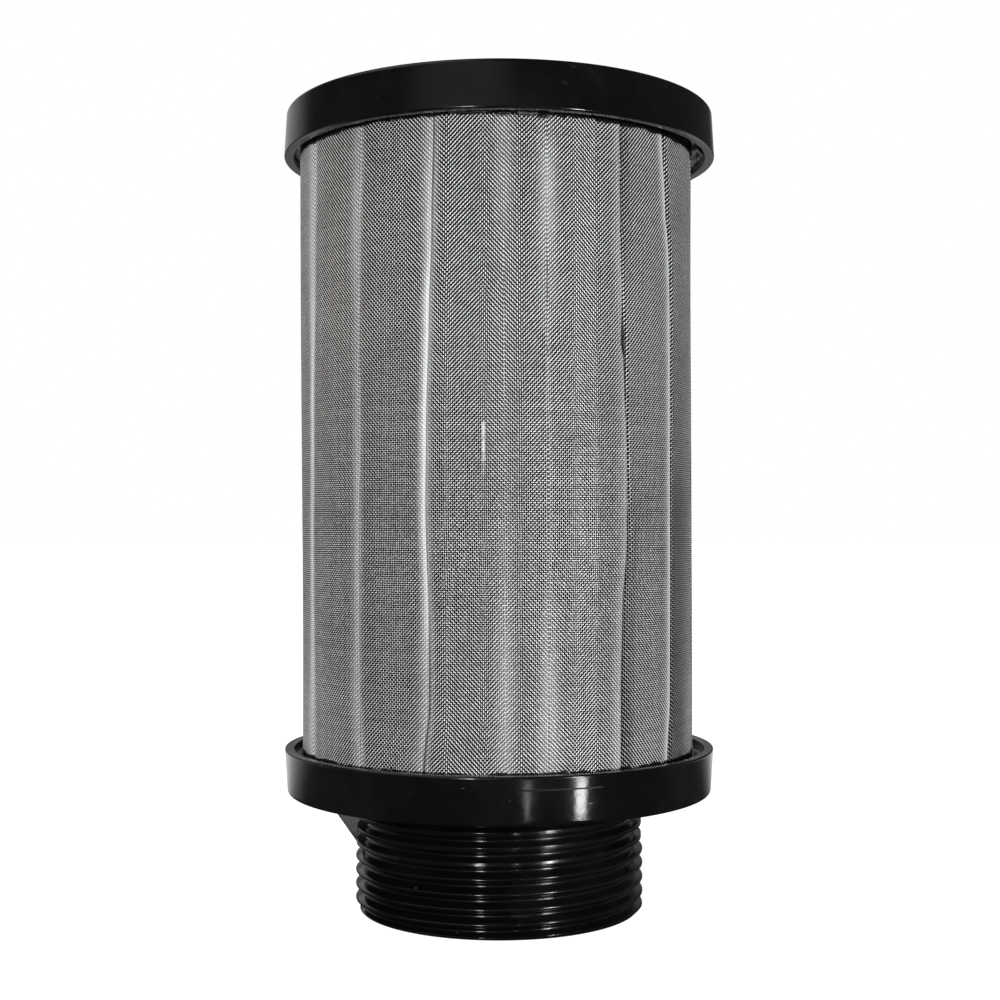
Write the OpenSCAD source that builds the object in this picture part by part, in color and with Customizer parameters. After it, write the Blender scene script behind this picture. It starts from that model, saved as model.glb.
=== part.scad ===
// Screw-in pneumatic muffler: a pleated wire-cloth cartridge bonded between two moulded caps.
// Air enters the threaded spigot, passes the perforated core and leaves through the cloth.
// The origin is the centre of the spigot's open end, +Z runs up the axis and the front is -Y.

/* [Thread spigot] */
// Major diameter of the parallel pipe thread
thread_d = 47.8; // [46:0.1:50]
// Length from the open end to the underside of the cap
spigot_len = 19.6; // [16:0.2:28]
// Lead-in chamfer at the open end
lead_chamfer = 0.8; // [0.4:0.1:1.5]
// Diameter of the air bore
bore_d = 39; // [34:0.5:40]
// Chamfer at the mouth of the bore
mouth_chamfer = 0.5; // [0.2:0.1:1]
// How much lower the run-out turns stand, above the rib's tip
runout_drop = 0.25; // [0.25:0.05:0.6]

/* [Rib] */
// Height of the rib down the spigot
rib_h = 9.5; // [4:0.5:12]
// Reach of the rib along the underside of the cap
rib_reach = 6.8; // [3:0.2:8]
// Thickness of the rib
rib_t = 2; // [1:0.1:3]
// Bearing of the rib, turned from the front towards the right
rib_bearing = -95; // [-180:5:180]

/* [End caps] */
// Height of each cap
cap_h = 7.4; // [6.6:0.1:10]
// Diameter at the closed end
cap_end_d = 70.2; // [69:0.1:71]
// Diameter at the lip
cap_lip_d = 71.1; // [70.6:0.1:73]
// Wall of the skirt
skirt_wall = 1.6; // [1.2:0.1:2]
// Thickness of the closed end
floor_t = 2; // [1.5:0.1:2.6]
// Rounding of the closed end's edge
edge_r = 0.6; // [0.3:0.1:1.2]
// Rounding of the two edges of the lip
lip_r = 0.35; // [0.2:0.05:0.5]
// Height of the collars that centre the core tube
collar_h = 4; // [2.5:0.5:6]
// Wall of the collar in the blind cap
collar_wall = 1.6; // [1:0.1:2.4]

/* [Pleated cloth] */
// Height of cloth that shows between the two lips
exposed_h = 96.6; // [60:0.2:140]
// Diameter over the pleats
pleat_d = 64.6; // [62:0.2:66]
// Number of full pleats
pleat_count = 16; // [12:1:20]
// Angle of the one narrow pleat beside the seam
seam_pleat_angle = 11.9; // [10:0.1:16]
// Bearing of the seam, turned from the front towards the right
seam_bearing = 1.8; // [-180:0.2:180]
// Thickness of the woven cloth
cloth_t = 0.25; // [0.2:0.05:0.4]
// Gap between neighbouring pleats
slit_w = 0.6; // [0.4:0.1:2]
// Bend radius at the pleats' shoulders, to the middle of the cloth
shoulder_r = 1.2; // [0.8:0.1:1.6]
// Room between the inner folds and the core tube
fold_gap = 0.3; // [0.2:0.1:0.8]

/* [Seam clip] */
// Sheet thickness of the clip
clip_t = 0.5; // [0.3:0.1:0.7]
// Depth of the clip, from its web outwards
clip_depth = 5; // [3:0.5:6]
// Gap between the two edges of the cloth inside the clip
clip_gap = 0.1; // [0.05:0.05:0.3]

/* [Core tube] */
// Outer diameter of the tube
core_d = 44; // [43:0.5:46]
// Wall of the tube
core_wall = 0.6; // [0.5:0.1:0.9]
// Radial clearance between the tube and the collars
core_fit = 0.2; // [0.1:0.05:0.4]
// Diameter of the punched holes
hole_d = 6; // [4:0.5:7]
// Holes in a row
holes_per_row = 12; // [8:1:14]
// Height from one row of holes to the next
row_pitch = 8.4; // [7.6:0.2:14]
// Plain height at least left between the lips and the outer rows
row_margin = 6; // [4:0.5:12]

/* [Potting] */
// Depth of the resin above the cap's floor
potting_depth = 3.4; // [2.4:0.1:4]
// Resin under the cut ends of the cloth and clip
cloth_foot = 0.5; // [0.2:0.1:1]

/* [Hidden] */
$fn = 96;

// How far a cutting tool reaches past the surface that it cuts
past = 1;

// Heights up the axis
cap_z = spigot_len;
floor_z = cap_z + floor_t;
lip_z = cap_z + cap_h;
top_lip_z = lip_z + exposed_h;
top_z = top_lip_z + cap_h;
top_floor_z = top_z - floor_t;
cloth_z = floor_z + cloth_foot;
cloth_h = top_floor_z - cloth_foot - cloth_z;

// Radii of the round pieces
thread_r = thread_d / 2;
runout_r = thread_r - runout_drop;
bore_r = bore_d / 2;
core_r = core_d / 2;
collar_r = core_r - core_wall - core_fit;

// The skirt of a cap flares from its closed end to its lip
end_r = cap_end_d / 2;
flare = atan2(cap_lip_d / 2 - end_r, cap_h);
function skirt_inner_r(height) = end_r - skirt_wall + height * tan(flare);

// Centres of the roundings, each tangent to the skirt and to a flat end
edge_at = [end_r - edge_r * (1 - sin(flare)) / cos(flare), edge_r];
lip_y = cap_h - lip_r;
lip_out_at = [end_r + (lip_y * sin(flare) - lip_r) / cos(flare), lip_y];
lip_in_at = [end_r - skirt_wall + (lip_y * sin(flare) + lip_r) / cos(flare), lip_y];
square_out = [cos(flare), -sin(flare)];

// The cloth's bends, to the middle of its thickness
face_r = (pleat_d - cloth_t) / 2;
half_cloth = cloth_t / 2;
wall_v = (slit_w + cloth_t) / 2;
fold_in_r = core_r + fold_gap;
fold_u = fold_in_r + wall_v + half_cloth;
shoulder_v = wall_v + shoulder_r;
shoulder_u = sqrt(pow(face_r - shoulder_r, 2) - pow(shoulder_v, 2));
shoulder_turn = atan2(shoulder_v, shoulder_u);
shoulder_steps = 4;
face_steps = 6;
fold_steps = 6;

// Every slit between two pleats, by its polar angle, from the seam once round to the seam again
pleat_pitch = (360 - seam_pleat_angle) / pleat_count;
seam_at = seam_bearing - 90;
slit_at = concat([seam_at], [for (k = [0 : pleat_count]) seam_at + seam_pleat_angle + k * pleat_pitch]);
lobe_count = pleat_count + 1;

// The two edges of the cloth run side by side into the clip
pinch_v = (clip_gap + cloth_t) / 2;
clip_web_r = fold_in_r + clip_t;
clip_mouth_r = fold_in_r + clip_depth;
clip_inner_v = pinch_v + half_cloth;

// Rows of holes that fit between the margins, centred between the lips
row_count = floor((exposed_h - 2 * row_margin) / row_pitch) + 1;
first_row_z = (lip_z + top_lip_z - (row_count - 1) * row_pitch) / 2;

// A point at u outwards and v sideways from a slit's middle line, turned to that slit
function at_slit(u, v, angle) = [u * cos(angle) - v * sin(angle), u * sin(angle) + v * cos(angle)];

// One surface of a pleat, from the slit before it to the slit after it; side is the distance outwards
function pleat_side(from, to, side) = concat(
    [for (i = [0 : shoulder_steps])
        let (turn = -90 + i * (90 + shoulder_turn) / shoulder_steps)
        at_slit(shoulder_u + (shoulder_r + side) * cos(turn),
                shoulder_v + (shoulder_r + side) * sin(turn), from)],
    [for (i = [1 : face_steps - 1])
        let (turn = from + shoulder_turn + i * (to - from - 2 * shoulder_turn) / face_steps)
        (face_r + side) * [cos(turn), sin(turn)]],
    [for (i = [0 : shoulder_steps])
        let (turn = -shoulder_turn + i * (90 + shoulder_turn) / shoulder_steps)
        at_slit(shoulder_u + (shoulder_r + side) * cos(turn),
                -shoulder_v + (shoulder_r + side) * sin(turn), to)]);

// One surface of the inner fold at a slit
function fold_side(angle, side) =
    [for (i = [0 : fold_steps])
        let (turn = 270 - i * 180 / fold_steps)
        at_slit(fold_u + (wall_v - side) * cos(turn), (wall_v - side) * sin(turn), angle)];

// One surface of the cloth, from its first edge in the clip to its second
function cloth_side(side) = concat(
    [at_slit(clip_web_r, pinch_v - side, slit_at[0]), at_slit(clip_mouth_r, pinch_v - side, slit_at[0])],
    [for (k = [0 : lobe_count - 1])
        for (p = concat(pleat_side(slit_at[k], slit_at[k + 1], side),
                        k < lobe_count - 1 ? fold_side(slit_at[k + 1], side) : []))
            p],
    [at_slit(clip_mouth_r, side - pinch_v, slit_at[lobe_count]),
     at_slit(clip_web_r, side - pinch_v, slit_at[lobe_count])]);

function backwards(list) = [for (i = [len(list) - 1 : -1 : 0]) list[i]];

// Half section of a cap, closed end on the X axis, open from inner_r outwards
module cap_section(inner_r) {
    polygon([
        [inner_r, 0],
        [edge_at.x, 0],
        edge_at + edge_r * square_out,
        lip_out_at + lip_r * square_out,
        [lip_out_at.x, cap_h],
        [lip_in_at.x, cap_h],
        lip_in_at - lip_r * square_out,
        [skirt_inner_r(floor_t), floor_t],
        [inner_r, floor_t]
    ]);
    translate(edge_at) circle(r = edge_r);
    translate(lip_out_at) circle(r = lip_r);
    translate(lip_in_at) circle(r = lip_r);
}

// Half section of a collar on a cap's floor, inside the core tube
module collar_section(inner_r) {
    translate([inner_r, 0]) square([collar_r - inner_r, floor_t + collar_h]);
}

// Half section of the spigot: full thread, then the lower run-out turns up to the cap
module spigot_section() {
    polygon([
        [bore_r + mouth_chamfer, 0],
        [thread_r - lead_chamfer, 0],
        [thread_r, lead_chamfer],
        [thread_r, cap_z - rib_h],
        [runout_r, cap_z - rib_h],
        [runout_r, cap_z + floor_t / 2],
        [bore_r, cap_z + floor_t / 2],
        [bore_r, mouth_chamfer]
    ]);
}

// Plan of the cloth
module cloth_plan() {
    polygon(concat(cloth_side(half_cloth), backwards(cloth_side(-half_cloth))));
}

// Plan of the clip, a channel open outwards along the seam
module clip_plan() {
    rotate(seam_at) translate([fold_in_r, 0]) difference() {
        translate([0, -clip_inner_v - clip_t]) square([clip_depth, 2 * (clip_inner_v + clip_t)]);
        translate([clip_t, -clip_inner_v]) square([clip_depth, 2 * clip_inner_v]);
    }
}

// Resin ring on the floor of a cap, closed end on Z = 0, with room for the core tube
module potting_ring() {
    rotate_extrude() polygon([
        [core_r, floor_t],
        [skirt_inner_r(floor_t), floor_t],
        [skirt_inner_r(floor_t + potting_depth), floor_t + potting_depth],
        [core_r, floor_t + potting_depth]
    ]);
}

// Blind cap, lip down
module top_cap() {
    color([0.09, 0.09, 0.1])
        translate([0, 0, top_z]) mirror([0, 0, 1]) rotate_extrude() {
            cap_section(0);
            collar_section(collar_r - collar_wall);
        }
}

// Threaded cap, lip up, moulded in one piece with its spigot and rib
module bottom_cap() {
    color([0.09, 0.09, 0.1]) {
        rotate_extrude() {
            translate([0, cap_z]) cap_section(bore_r);
            translate([0, cap_z]) collar_section(bore_r);
            spigot_section();
        }
        rotate(rib_bearing - 90) rotate([90, 0, 0]) linear_extrude(height = rib_t, center = true)
            polygon([
                [(bore_r + runout_r) / 2, cap_z - rib_h],
                [thread_r, cap_z - rib_h],
                [thread_r + rib_reach, cap_z],
                [thread_r + rib_reach, cap_z + floor_t / 2],
                [(bore_r + runout_r) / 2, cap_z + floor_t / 2]
            ]);
    }
}

// Woven wire cloth folded into broad pleats with narrow slits, its two edges held in the clip
module pleated_cloth() {
    color([0.62, 0.62, 0.6])
        translate([0, 0, cloth_z]) linear_extrude(height = cloth_h) cloth_plan();
}

// Folded strip that closes the cloth along the seam
module seam_clip() {
    color([0.66, 0.67, 0.68])
        translate([0, 0, cloth_z]) linear_extrude(height = cloth_h) clip_plan();
}

// Perforated tube that keeps the pleats off the air bore and carries the end load
module core_tube() {
    color([0.7, 0.71, 0.72]) difference() {
        translate([0, 0, floor_z]) cylinder(r = core_r, h = top_floor_z - floor_z);
        translate([0, 0, floor_z - past])
            cylinder(r = core_r - core_wall, h = top_floor_z - floor_z + 2 * past);
        for (row = [0 : row_count - 1])
            for (k = [0 : holes_per_row - 1])
                translate([0, 0, first_row_z + row * row_pitch])
                    rotate((k + (row % 2) / 2) * 360 / holes_per_row)
                        translate([core_r - core_wall - past, 0, 0]) rotate([0, 90, 0])
                            cylinder(d = hole_d, h = core_wall + 2 * past);
    }
}

// Resin that seals the cloth, clip and core into the blind cap
module top_potting() {
    color([0.16, 0.16, 0.16]) difference() {
        translate([0, 0, top_z]) mirror([0, 0, 1]) potting_ring();
        translate([0, 0, cloth_z]) linear_extrude(height = cloth_h) cloth_plan();
        translate([0, 0, cloth_z]) linear_extrude(height = cloth_h) clip_plan();
    }
}

// Resin that seals the cloth, clip and core into the threaded cap
module bottom_potting() {
    color([0.16, 0.16, 0.16]) difference() {
        translate([0, 0, cap_z]) potting_ring();
        translate([0, 0, cloth_z]) linear_extrude(height = cloth_h) cloth_plan();
        translate([0, 0, cloth_z]) linear_extrude(height = cloth_h) clip_plan();
    }
}

top_cap();
bottom_cap();
pleated_cloth();
seam_clip();
core_tube();
top_potting();
bottom_potting();
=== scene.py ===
"""Dresses the screw-in muffler: moulded caps, pipe thread, pleated wire cloth, resin and steel inside."""

import logging
import math
from dataclasses import dataclass, field, replace
from enum import Enum
from functools import reduce
from itertools import accumulate
from typing import Any, Mapping, Optional, Sequence, Union

import bmesh
import bpy
from bmesh.types import BMesh, BMEdge, BMFace, BMVert
from mathutils import Matrix, Vector, noise


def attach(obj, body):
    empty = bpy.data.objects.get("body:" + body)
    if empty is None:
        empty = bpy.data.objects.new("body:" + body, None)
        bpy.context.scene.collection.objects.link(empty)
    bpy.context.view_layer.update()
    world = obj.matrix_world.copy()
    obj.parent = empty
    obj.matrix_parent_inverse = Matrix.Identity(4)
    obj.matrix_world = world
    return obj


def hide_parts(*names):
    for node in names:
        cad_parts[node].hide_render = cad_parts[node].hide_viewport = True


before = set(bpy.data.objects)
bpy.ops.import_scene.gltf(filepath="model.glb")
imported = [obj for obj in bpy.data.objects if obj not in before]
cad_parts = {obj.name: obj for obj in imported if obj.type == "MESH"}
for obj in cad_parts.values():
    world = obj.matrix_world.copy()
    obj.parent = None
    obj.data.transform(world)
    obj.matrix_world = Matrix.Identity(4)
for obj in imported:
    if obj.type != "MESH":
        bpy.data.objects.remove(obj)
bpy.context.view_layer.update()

LOG = logging.getLogger("muffler")
MM = 0.001
BODY = "root"
WEAVE_MAP = "weave"
SHEEN = "sheen"
PAINTED_LIGHT_NAME = "rub"
SAME_SPOT = 2e-6
AXIS = (0.0, 0.0, 1.0)
CENTRE = (0.0, 0.0, 0.0)

Socket = bpy.types.NodeSocket
Feed = Union[Socket, float, Sequence[float]]
Triple = tuple[float, float, float]
Track = tuple[tuple[float, float], ...]
Spot = tuple[Vector, float]
Laid = tuple[Vector, float, float]


class Slot(Enum):
    """The record's material slots."""

    CAP = "cap_plastic"
    CLOTH = "wire_cloth"
    RESIN = "resin"


class End(Enum):
    """The two ends of the cartridge."""

    TOP = "top"
    BOTTOM = "bottom"


# ---------------------------------------------------------------- small helpers


def around(radius: float, bearing: float, height: float) -> Vector:
    """Finds a point round the axis, at degrees from the front that grow to the right."""
    turn = math.radians(bearing)
    return Vector((radius * math.sin(turn), -radius * math.cos(turn), height))


def bearing_of(point: Vector) -> float:
    """Gives a point's bearing from the front, from -180 to 180 degrees."""
    return math.degrees(math.atan2(point.x, -point.y))


def ease(value: float) -> float:
    """Smooth step of a share from 0 to 1."""
    value = min(max(value, 0.0), 1.0)
    return value * value * (3.0 - 2.0 * value)


def along(track: Track, share: float) -> float:
    """Reads a value off a track of (share, value) stops, eased between them.

    Args:
        track: Stops in rising order of share.
        share: Where to read.

    Returns:
        The value there.
    """
    if share <= track[0][0]:
        return track[0][1]
    for (lower, before), (upper, after) in zip(track, track[1:]):
        if share <= upper:
            return before + (after - before) * ease((share - lower) / (upper - lower))
    return track[-1][1]


def sharpen(bm: BMesh, limit: float = 34.0) -> None:
    """Shades a mesh smooth but for its edges past a limit.

    Args:
        bm: The mesh.
        limit: Angle between two faces, in degrees, past which their edge is sharp.
    """
    for face in bm.faces:
        face.smooth = True
    for edge in bm.edges:
        edge.smooth = not (edge.is_manifold and edge.calc_face_angle(0.0) > math.radians(limit))


def spin_round(bm: BMesh, steps: int) -> None:
    """Spins a half section once round the axis, closes it and turns its faces outwards.

    Args:
        bm: The mesh that holds the section and nothing else.
        steps: Steps of the full turn.
    """
    section = bm.verts[:] + bm.edges[:]
    bmesh.ops.spin(bm, geom=section, cent=CENTRE, axis=AXIS, angle=math.tau, steps=steps, use_merge=True)
    bmesh.ops.remove_doubles(bm, verts=bm.verts[:], dist=1e-7)
    bmesh.ops.recalc_face_normals(bm, faces=bm.faces[:])


def round_off(bm: BMesh, edges: Sequence[BMEdge], size: float, segments: int) -> list[BMFace]:
    """Bevels edges.

    Args:
        bm: The mesh.
        edges: Its edges to bevel.
        size: The bevel's size in millimetres.
        segments: Steps across it.

    Returns:
        The bevel's faces.
    """
    made = bmesh.ops.bevel(
        bm,
        geom=edges,
        offset=size * MM,
        offset_type="OFFSET",
        segments=segments,
        profile=0.5,
        affect="EDGES",
        material=-1,
    )
    return made["faces"]


def place(bm: BMesh, name: str, material: bpy.types.Material, slot: Slot, *nodes: str) -> bpy.types.Object:
    """Makes a finished piece of a mesh and seats it in the frame.

    Args:
        bm: The mesh, in metres, freed here.
        name: The piece's name.
        material: Its finish.
        slot: The record's slot that the finish belongs to. Not used.
        nodes: CAD nodes that the piece stands for.

    Returns:
        The piece.
    """
    mesh = bpy.data.meshes.new(name)
    bm.to_mesh(mesh)
    bm.free()
    mesh.materials.append(material)
    piece = bpy.data.objects.new(name, mesh)
    bpy.context.scene.collection.objects.link(piece)
    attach(piece, BODY)
    if nodes:
        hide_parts(*nodes)
    LOG.info("%s: %d faces", name, len(mesh.polygons))
    return piece


def dress(node: str, material: bpy.types.Material) -> None:
    """Gives a carried-over CAD node its finish.

    Args:
        node: The node's name.
        material: The finish.
    """
    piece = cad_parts[node]
    piece.data.materials.clear()
    piece.data.materials.append(material)
    LOG.info("%s: carried over", node)


# ---------------------------------------------------------------- wiring of finishes


class Wiring:
    """Adds and joins the nodes of one shader tree."""

    def __init__(self, tree: bpy.types.NodeTree) -> None:
        """Takes the tree to work in."""
        self.tree = tree

    def feed(self, source: Feed, target: Socket) -> None:
        """Joins a socket to another, or sets a constant on it.

        Args:
            source: A socket or a constant.
            target: The socket that takes it.
        """
        if isinstance(source, bpy.types.NodeSocket):
            self.tree.links.new(source, target)
        elif target.type == "RGBA" and not isinstance(source, float) and len(source) == 3:
            target.default_value = (*source, 1.0)
        else:
            target.default_value = source

    def node(self, kind: str, values: Optional[Mapping[Any, Feed]] = None, **settings: Any) -> bpy.types.Node:
        """Adds a node and feeds it.

        Args:
            kind: The node's type name, without its ShaderNode prefix.
            values: What its inputs take, by name or number.
            settings: Attributes to set on it.

        Returns:
            The node.
        """
        made = self.tree.nodes.new(kind if kind.startswith("Node") else "ShaderNode" + kind)
        for key, value in settings.items():
            setattr(made, key, value)
        for key, value in (values or {}).items():
            self.feed(value, made.inputs[key])
        return made

    def math(self, operation: str, *values: Feed, clamp: bool = False) -> Socket:
        """Adds a Math node and gives its result."""
        return self.node("Math", dict(enumerate(values)), operation=operation, use_clamp=clamp).outputs[0]

    def times(self, *values: Feed) -> Socket:
        """Multiplies values."""
        return reduce(lambda done, value: self.math("MULTIPLY", done, value), values)

    def plus(self, *values: Feed) -> Socket:
        """Adds values up."""
        return reduce(lambda done, value: self.math("ADD", done, value), values)

    def most(self, *values: Feed) -> Socket:
        """Picks the largest value."""
        return reduce(lambda done, value: self.math("MAXIMUM", done, value), values)

    def minus(self, first: Feed, second: Feed) -> Socket:
        """Takes the second value from the first."""
        return self.math("SUBTRACT", first, second)

    def apart(self, first: Feed, second: Feed) -> Socket:
        """Gives the distance between two values."""
        return self.math("ABSOLUTE", self.minus(first, second))

    def span(self, value: Feed, low: float, high: float, to_low: float = 0.0, to_high: float = 1.0) -> Socket:
        """Maps low to high smoothly on to_low to to_high, with the ends held."""
        values = dict(enumerate((value, low, high, to_low, to_high)))
        return self.node("MapRange", values, interpolation_type="SMOOTHSTEP").outputs[0]

    def vector(self, operation: str, *values: Feed) -> Socket:
        """Adds a Vector Math node and gives its vector, or its value where it has only that."""
        made = self.node("VectorMath", dict(enumerate(values)), operation=operation)
        return made.outputs["Value" if operation in ("DOT_PRODUCT", "LENGTH") else "Vector"]

    def split(self, vector: Feed) -> tuple[Socket, ...]:
        """Splits a vector into its three parts."""
        return tuple(self.node("SeparateXYZ", {0: vector}).outputs)

    def join(self, x: Feed, y: Feed, z: Feed) -> Socket:
        """Joins three parts to a vector."""
        return self.node("CombineXYZ", {0: x, 1: y, 2: z}).outputs[0]

    def blend(self, share: Feed, first: Feed, second: Feed) -> Socket:
        """Mixes two colours, with the share of the second."""
        return self.node("Mix", {0: share, 6: first, 7: second}, data_type="RGBA").outputs[2]

    def grain(self, where: Feed, scale: float, detail: float, rough: float) -> Socket:
        """Adds a noise pattern, by its repeats per metre, its octaves and the strength of the finer ones."""
        values = {"Vector": where, "Scale": scale, "Detail": detail, "Roughness": rough}
        return self.node("TexNoise", values).outputs[0]

    def turned(self, where: Feed, turn: Triple, scale: Triple) -> Socket:
        """Turns coordinates by degrees and stretches them along each axis."""
        angles = tuple(math.radians(t) for t in turn)
        return self.node("Mapping", {"Vector": where, "Rotation": angles, "Scale": scale}).outputs[0]

    def cells(self, where: Feed, scale: float) -> bpy.types.NodeOutputs:
        """Adds a cell pattern, by its repeats per metre."""
        return self.node("TexVoronoi", {"Vector": where, "Scale": scale}, feature="F1").outputs

    def bump(self, height: Feed, strength: float, distance: float) -> Socket:
        """Adds a bump, by its height, strength and depth in metres, and gives its normal."""
        return self.node("Bump", {"Strength": strength, "Distance": distance, "Height": height}).outputs[0]


class NodeGroup:
    """A shared effect: a shader node group, built once."""

    title = "effect"
    takes: tuple[tuple[str, str, float], ...] = ()
    gives: tuple[tuple[str, str], ...] = ()

    def __init__(self) -> None:
        """Makes the group's sockets and wires it."""
        self.tree = bpy.data.node_groups.new(self.title, "ShaderNodeTree")
        for name, kind, value in self.takes:
            made = self.tree.interface.new_socket(name, in_out="INPUT", socket_type="NodeSocket" + kind)
            if kind == "Float":
                made.default_value = value
        for name, kind in self.gives:
            self.tree.interface.new_socket(name, in_out="OUTPUT", socket_type="NodeSocket" + kind)
        wiring = Wiring(self.tree)
        self.ins = wiring.node("NodeGroupInput").outputs
        outs = wiring.node("NodeGroupOutput").inputs
        for name, value in self.wire(wiring).items():
            wiring.feed(value, outs[name])

    def wire(self, w: Wiring) -> dict[str, Socket]:
        """Wires the effect and gives its outputs. Each kind of group does this its own way."""
        raise NotImplementedError

    def use(self, w: Wiring, **values: Feed) -> bpy.types.NodeOutputs:
        """Places the effect in a material and gives its outputs."""
        return w.node("Group", values, node_tree=self.tree).outputs


class PlainWeave(NodeGroup):
    """Over-and-under wires of a plain weave, from coordinates in metres, with a painted glint on each wire's hump."""

    title = "plain weave"
    takes = (
        ("Where", "Vector", 0.0),
        ("Pitch", "Float", 0.0003175),
        ("Rise", "Float", 0.000327),
        ("Wire", "Float", 0.2),
        ("Crimp", "Float", 0.2),
        ("Lean", "Vector", 0.0),
    )
    gives = (("Wires", "Float"), ("Slope", "Color"), ("Glint", "Float"), ("Shade", "Float"), ("Sparkle", "Float"))
    least_round = 0.0004
    flank = (0.18, 0.33)
    crest = (0.54, 0.88)

    def wire(self, w: Wiring) -> dict[str, Socket]:
        """Works out wire tops, slopes and gaps cell by cell.

        Args:
            w: The group's wiring.

        Returns:
            The group's outputs.
        """
        cell = w.vector("DIVIDE", self.ins["Where"], w.join(self.ins["Pitch"], self.ins["Rise"], 1.0))
        x, y, _ = w.split(cell)
        column, row = w.math("FLOOR", x), w.math("FLOOR", y)
        across, up = w.minus(w.minus(x, column), 0.5), w.minus(w.minus(y, row), 0.5)
        over = w.minus(1.0, w.times(2.0, w.math("FLOORED_MODULO", w.plus(column, row), 2.0)))
        radius, crimp = self.ins["Wire"], self.ins["Crimp"]

        def strand(side: Socket, run: Socket, sign: float) -> tuple[Socket, Socket, Socket, Socket, Socket]:
            """Works out one wire of a cell.

            Args:
                side: Place across the wire.
                run: Place along it.
                sign: 1 for the upright wires, -1 for the level ones.

            Returns:
                Its mask, height, side slope, run slope and roundness.
            """
            lean = w.math("DIVIDE", side, radius)
            mask = w.math("LESS_THAN", w.math("ABSOLUTE", lean), 1.0)
            bulge = w.math("SQRT", w.most(w.minus(1.0, w.times(lean, lean)), self.least_round))
            swing, angle = w.times(over, crimp, sign), w.times(run, math.pi)
            height = w.plus(w.times(swing, w.math("COSINE", angle)), w.times(radius, bulge))
            rise = w.times(swing, -math.pi, w.math("SINE", angle))
            return mask, height, lean, w.times(rise, bulge, -1.0), bulge

        up_mask, up_top, up_side, up_run, up_round = strand(across, up, 1.0)
        lv_mask, lv_top, lv_side, lv_run, lv_round = strand(up, across, -1.0)
        higher = w.math("GREATER_THAN", up_top, lv_top)
        upright = w.times(up_mask, w.most(higher, w.minus(1.0, lv_mask)))
        wires = w.most(up_mask, lv_mask)

        def pick(level: Socket, upright_value: Socket) -> Socket:
            """Takes the value of whichever wire is on top."""
            return w.node("Mix", {0: upright, 2: level, 3: upright_value}, data_type="FLOAT").outputs[0]

        slope = w.vector("NORMALIZE", w.join(pick(lv_run, up_side), pick(lv_side, up_run), pick(lv_round, up_round)))
        flat = w.vector("MULTIPLY_ADD", slope, (0.5, 0.5, 0.5), (0.5, 0.5, 0.5))

        def hump(run: Socket, lean: Socket, side: Socket, sign: float) -> Socket:
            """Works out the painted glint on a wire's hump.

            Args:
                run: Place along the wire.
                lean: Place along it where the hump is brightest.
                side: Place across the wire.
                sign: 1 for the upright wires, -1 for the level ones.

            Returns:
                Brightness, 1 on the hump's middle line.
            """
            wave = w.times(over, sign, w.math("COSINE", w.times(w.minus(run, lean), math.pi)))
            return w.times(w.span(wave, *self.crest), w.span(w.math("ABSOLUTE", side), *self.flank, 1.0, 0.0))

        def chance(column_: Socket, row_: Socket) -> Socket:
            """Draws a value for each wire or cell."""
            where = {"Vector": w.join(column_, row_, 0.0)}
            return w.node("TexWhiteNoise", where, noise_dimensions="2D").outputs[0]

        lean_x, lean_y, _ = w.split(self.ins["Lean"])
        return {
            "Wires": wires,
            "Slope": w.blend(wires, (0.5, 0.5, 1.0), flat),
            "Glint": w.most(hump(up, lean_y, across, 1.0), hump(across, lean_x, up, -1.0)),
            "Shade": chance(pick(row, column), upright),
            "Sparkle": chance(column, row),
        }


class Scuffs(NodeGroup):
    """Handling marks: hairline scratches in two directions, rubbed patches and specks of dust."""

    title = "handling marks"
    takes = (("Where", "Vector", 0.0), ("Amount", "Float", 1.0))
    gives = (("Scratches", "Float"), ("Rub", "Float"), ("Dust", "Float"), ("Ripple", "Float"))
    strokes = (((12.0, 20.0, 35.0), (38.0, 1500.0, 900.0)), ((70.0, -25.0, 110.0), (30.0, 1900.0, 1200.0)))

    def wire(self, w: Wiring) -> dict[str, Socket]:
        """Wires the marks from stretched and cellular noise.

        Args:
            w: The group's wiring.

        Returns:
            The group's outputs.
        """
        where, amount = self.ins["Where"], self.ins["Amount"]
        streaks = [w.grain(w.turned(where, turn, scale), 1.0, 1.0, 0.3) for turn, scale in self.strokes]
        lines = w.most(*(w.span(streak, 0.735, 0.77) for streak in streaks))
        patch = w.span(w.grain(where, 140.0, 4.0, 0.6), 0.48, 0.72)
        cells = w.cells(where, 620.0)
        few = w.span(w.split(cells["Color"])[0], 0.955, 0.995)
        return {
            "Scratches": w.times(lines, patch, amount),
            "Rub": w.times(w.span(w.grain(where, 60.0, 5.0, 0.62), 0.45, 0.75), amount),
            "Dust": w.times(few, w.span(cells["Distance"], 0.12, 0.03), amount),
            "Ripple": w.plus(w.times(w.grain(where, 900.0, 2.0, 0.5), 0.5), w.grain(where, 110.0, 2.0, 0.5)),
        }


class Groups:
    """The shared effects, each built once."""

    def __init__(self) -> None:
        """Builds the effects."""
        self.weave = PlainWeave()
        self.scuffs = Scuffs()


# ---------------------------------------------------------------- finishes


class Bench(Wiring):
    """The wiring of one material, with the shared effects and the place on the part at hand."""

    def __init__(self, name: str, groups: Groups) -> None:
        """Starts a material with a Principled shader.

        Args:
            name: The material's name.
            groups: The shared effects.
        """
        self.material = bpy.data.materials.new(name)
        self.material.use_nodes = True
        super().__init__(self.material.node_tree)
        self.groups = groups
        self.where = self.node("TexCoord").outputs["Object"]

    def marks(self) -> bpy.types.NodeOutputs:
        """Places the handling marks."""
        return self.groups.scuffs.use(self, Where=self.where, Amount=1.0)


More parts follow.
